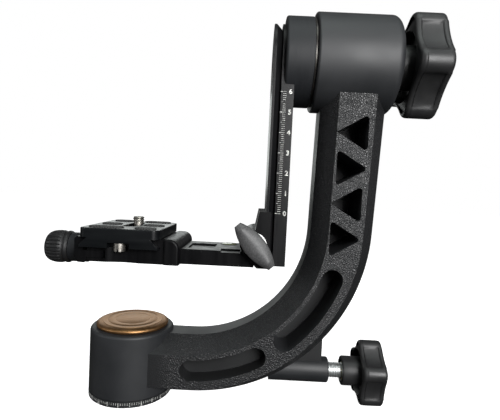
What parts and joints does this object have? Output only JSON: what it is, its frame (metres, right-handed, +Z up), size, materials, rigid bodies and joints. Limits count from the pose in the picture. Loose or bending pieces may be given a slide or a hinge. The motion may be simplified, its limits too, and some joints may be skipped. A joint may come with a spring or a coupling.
{
  "type": "gimbal tripod head",
  "caption": "Gimbal tripod head: a J-shaped arm pans on a round base and carries a swinging rail whose height-adjustable platform clamps a camera plate.",
  "frame": {"origin": "centre of the tripod thread's mouth, on the bottom face of the pan base", "axes": "+Z up along the pan axis; +X along the tilt axis, from the camera platform towards the tilt lock knob; -Y towards the front, which has the height scale and the rail paddle"},
  "size_m": [0.2031, 0.0546, 0.2055],
  "materials": {
    "wrinkle_coat": "black wrinkle powder coat on the fronts and bevels, smooth satin on the rest",
    "satin_black": "smooth satin black",
    "anodised_black": "satin black anodised",
    "black_plastic": "moulded, low sheen",
    "black_rubber": "ribbed",
    "black_screws": "black oxide",
    "zinc_steel": "bright zinc",
    "machined_steel": "turned",
    "bearing_steel": "ground",
    "gold_cap": "gold anodised, turned rings",
    "insert_brass": "turned",
    "bronze_washer": "oiled",
    "white_nylon": "natural",
    "level_green": "clear with green fluid"
  },
  "bodies": {
    "base": {"base_plate": "satin_black", "pan_spindle": "machined_steel", "base_screws": "black_screws", "pan_brake_sleeve": "machined_steel", "pan_spindle_washer": "machined_steel", "pan_spindle_nut": "machined_steel", "pan_lower_inner_race": "bearing_steel", "pan_upper_inner_race": "bearing_steel"},
    "arm": {"arm": "wrinkle_coat", "pan_lower_outer_race": "bearing_steel", "pan_upper_outer_race": "bearing_steel", "pan_lower_balls": "bearing_steel", "pan_upper_balls": "bearing_steel", "pan_cap": "gold_cap", "tilt_inner_housing_race": "bearing_steel", "tilt_outer_housing_race": "bearing_steel", "tilt_inner_balls": "bearing_steel", "tilt_outer_balls": "bearing_steel", "tilt_end_cover": "anodised_black", "tilt_cover_screws": "black_screws"},
    "pan_brake": {"pan_brake_plug": "white_nylon"},
    "pan_lock": {"pan_lock_rod": "zinc_steel", "pan_lock_insert": "insert_brass", "pan_lock_knob": "black_plastic"},
    "tilt_brake": {"tilt_brake_pad": "white_nylon"},
    "tilt_lock": {"tilt_lock_rod": "zinc_steel", "tilt_lock_insert": "insert_brass", "tilt_lock_knob": "black_plastic"},
    "tilt": {"tilt_drum": "anodised_black", "tilt_shaft": "machined_steel", "flange_screws": "machined_steel", "tilt_spacer": "machined_steel", "tilt_shaft_washer": "machined_steel", "tilt_shaft_nut": "machined_steel", "tilt_friction_washer": "bronze_washer", "tilt_inner_shaft_race": "bearing_steel", "tilt_outer_shaft_race": "bearing_steel", "rail": "anodised_black", "rail_screws": "black_screws"},
    "platform": {"platform": "anodised_black", "rail_jaw_pins": "machined_steel", "rail_jaw_spring": "machined_steel", "level_case": "black_plastic", "level_vial": "level_green"},
    "rail_jaw": {"rail_jaw": "anodised_black"},
    "paddle": {"paddle_screw": "zinc_steel", "paddle_knob": "black_plastic", "paddle_washer": "white_nylon"},
    "clamp_jaw": {"clamp_jaw": "anodised_black"},
    "clamp_knob": {"clamp_screw": "zinc_steel", "clamp_knob": "black_plastic", "clamp_collar": "anodised_black"},
    "plate": {"camera_plate": "anodised_black", "plate_pads": "black_rubber", "stop_screws": "zinc_steel"},
    "screw_washer": {"camera_screw_washer": "white_nylon"},
    "camera_screw": {"camera_screw": "zinc_steel"}
  },
  "joints": [
    {"name": "pan_rotation", "type": "hinge", "parent": "base", "child": "arm", "pos_m": [0, 0, 0.0165], "axis": [0, 0, 1], "continuous": true},
    {"name": "pan_lock_travel", "type": "slide", "parent": "arm", "child": "pan_brake", "axis": [1, 0, 0], "range_m": [0, 0.0025]},
    {"name": "pan_lock_turn", "type": "hinge", "parent": "pan_brake", "child": "pan_lock", "pos_m": [0.1, 0, 0.016], "axis": [1, 0, 0], "range_deg": [0, 720]},
    {"name": "tilt_rotation", "type": "hinge", "parent": "arm", "child": "tilt", "pos_m": [0.106, 0, 0.1797], "axis": [1, 0, 0], "continuous": true},
    {"name": "tilt_lock_travel", "type": "slide", "parent": "arm", "child": "tilt_brake", "axis": [1, 0, 0], "range_m": [0, 0.0025]},
    {"name": "tilt_lock_turn", "type": "hinge", "parent": "tilt_brake", "child": "tilt_lock", "pos_m": [0.13, 0, 0.1797], "axis": [1, 0, 0], "range_deg": [0, 720]},
    {"name": "platform_height", "type": "slide", "parent": "tilt", "child": "platform", "axis": [0, 0, 1], "range_m": [0, 0.06]},
    {"name": "rail_jaw_travel", "type": "slide", "parent": "platform", "child": "rail_jaw", "axis": [0, -1, 0], "range_m": [0, 0.002]},
    {"name": "paddle_turn", "type": "hinge", "parent": "rail_jaw", "child": "paddle", "pos_m": [0.064, -0.022, 0.085], "axis": [0, -1, 0], "range_deg": [0, 720]},
    {"name": "clamp_jaw_travel", "type": "slide", "parent": "platform", "child": "clamp_jaw", "axis": [-1, 0, 0], "range_m": [0, 0.004]},
    {"name": "clamp_knob_turn", "type": "hinge", "parent": "clamp_jaw", "child": "clamp_knob", "pos_m": [-0.04, 0, 0.0765], "axis": [-1, 0, 0], "range_deg": [0, 1800]},
    {"name": "plate_slide", "type": "slide", "parent": "platform", "child": "plate", "axis": [0, 1, 0], "range_m": [-0.0143, 0.0143]},
    {"name": "camera_screw_slide", "type": "slide", "parent": "plate", "child": "screw_washer", "axis": [0, 1, 0], "range_m": [-0.0175, 0.0012]},
    {"name": "camera_screw_turn", "type": "hinge", "parent": "screw_washer", "child": "camera_screw", "pos_m": [-0.00175, 0.01, 0.088], "axis": [0, 0, 1], "continuous": true}
  ],
  "couplings": [
    {"joint": "pan_lock_turn", "follows": "pan_lock_travel", "rad_per_m": 5026.5},
    {"joint": "tilt_lock_turn", "follows": "tilt_lock_travel", "rad_per_m": 5026.5},
    {"joint": "paddle_turn", "follows": "rail_jaw_travel", "rad_per_m": 6283.2},
    {"joint": "clamp_knob_turn", "follows": "clamp_jaw_travel", "rad_per_m": 7854}
  ]
}
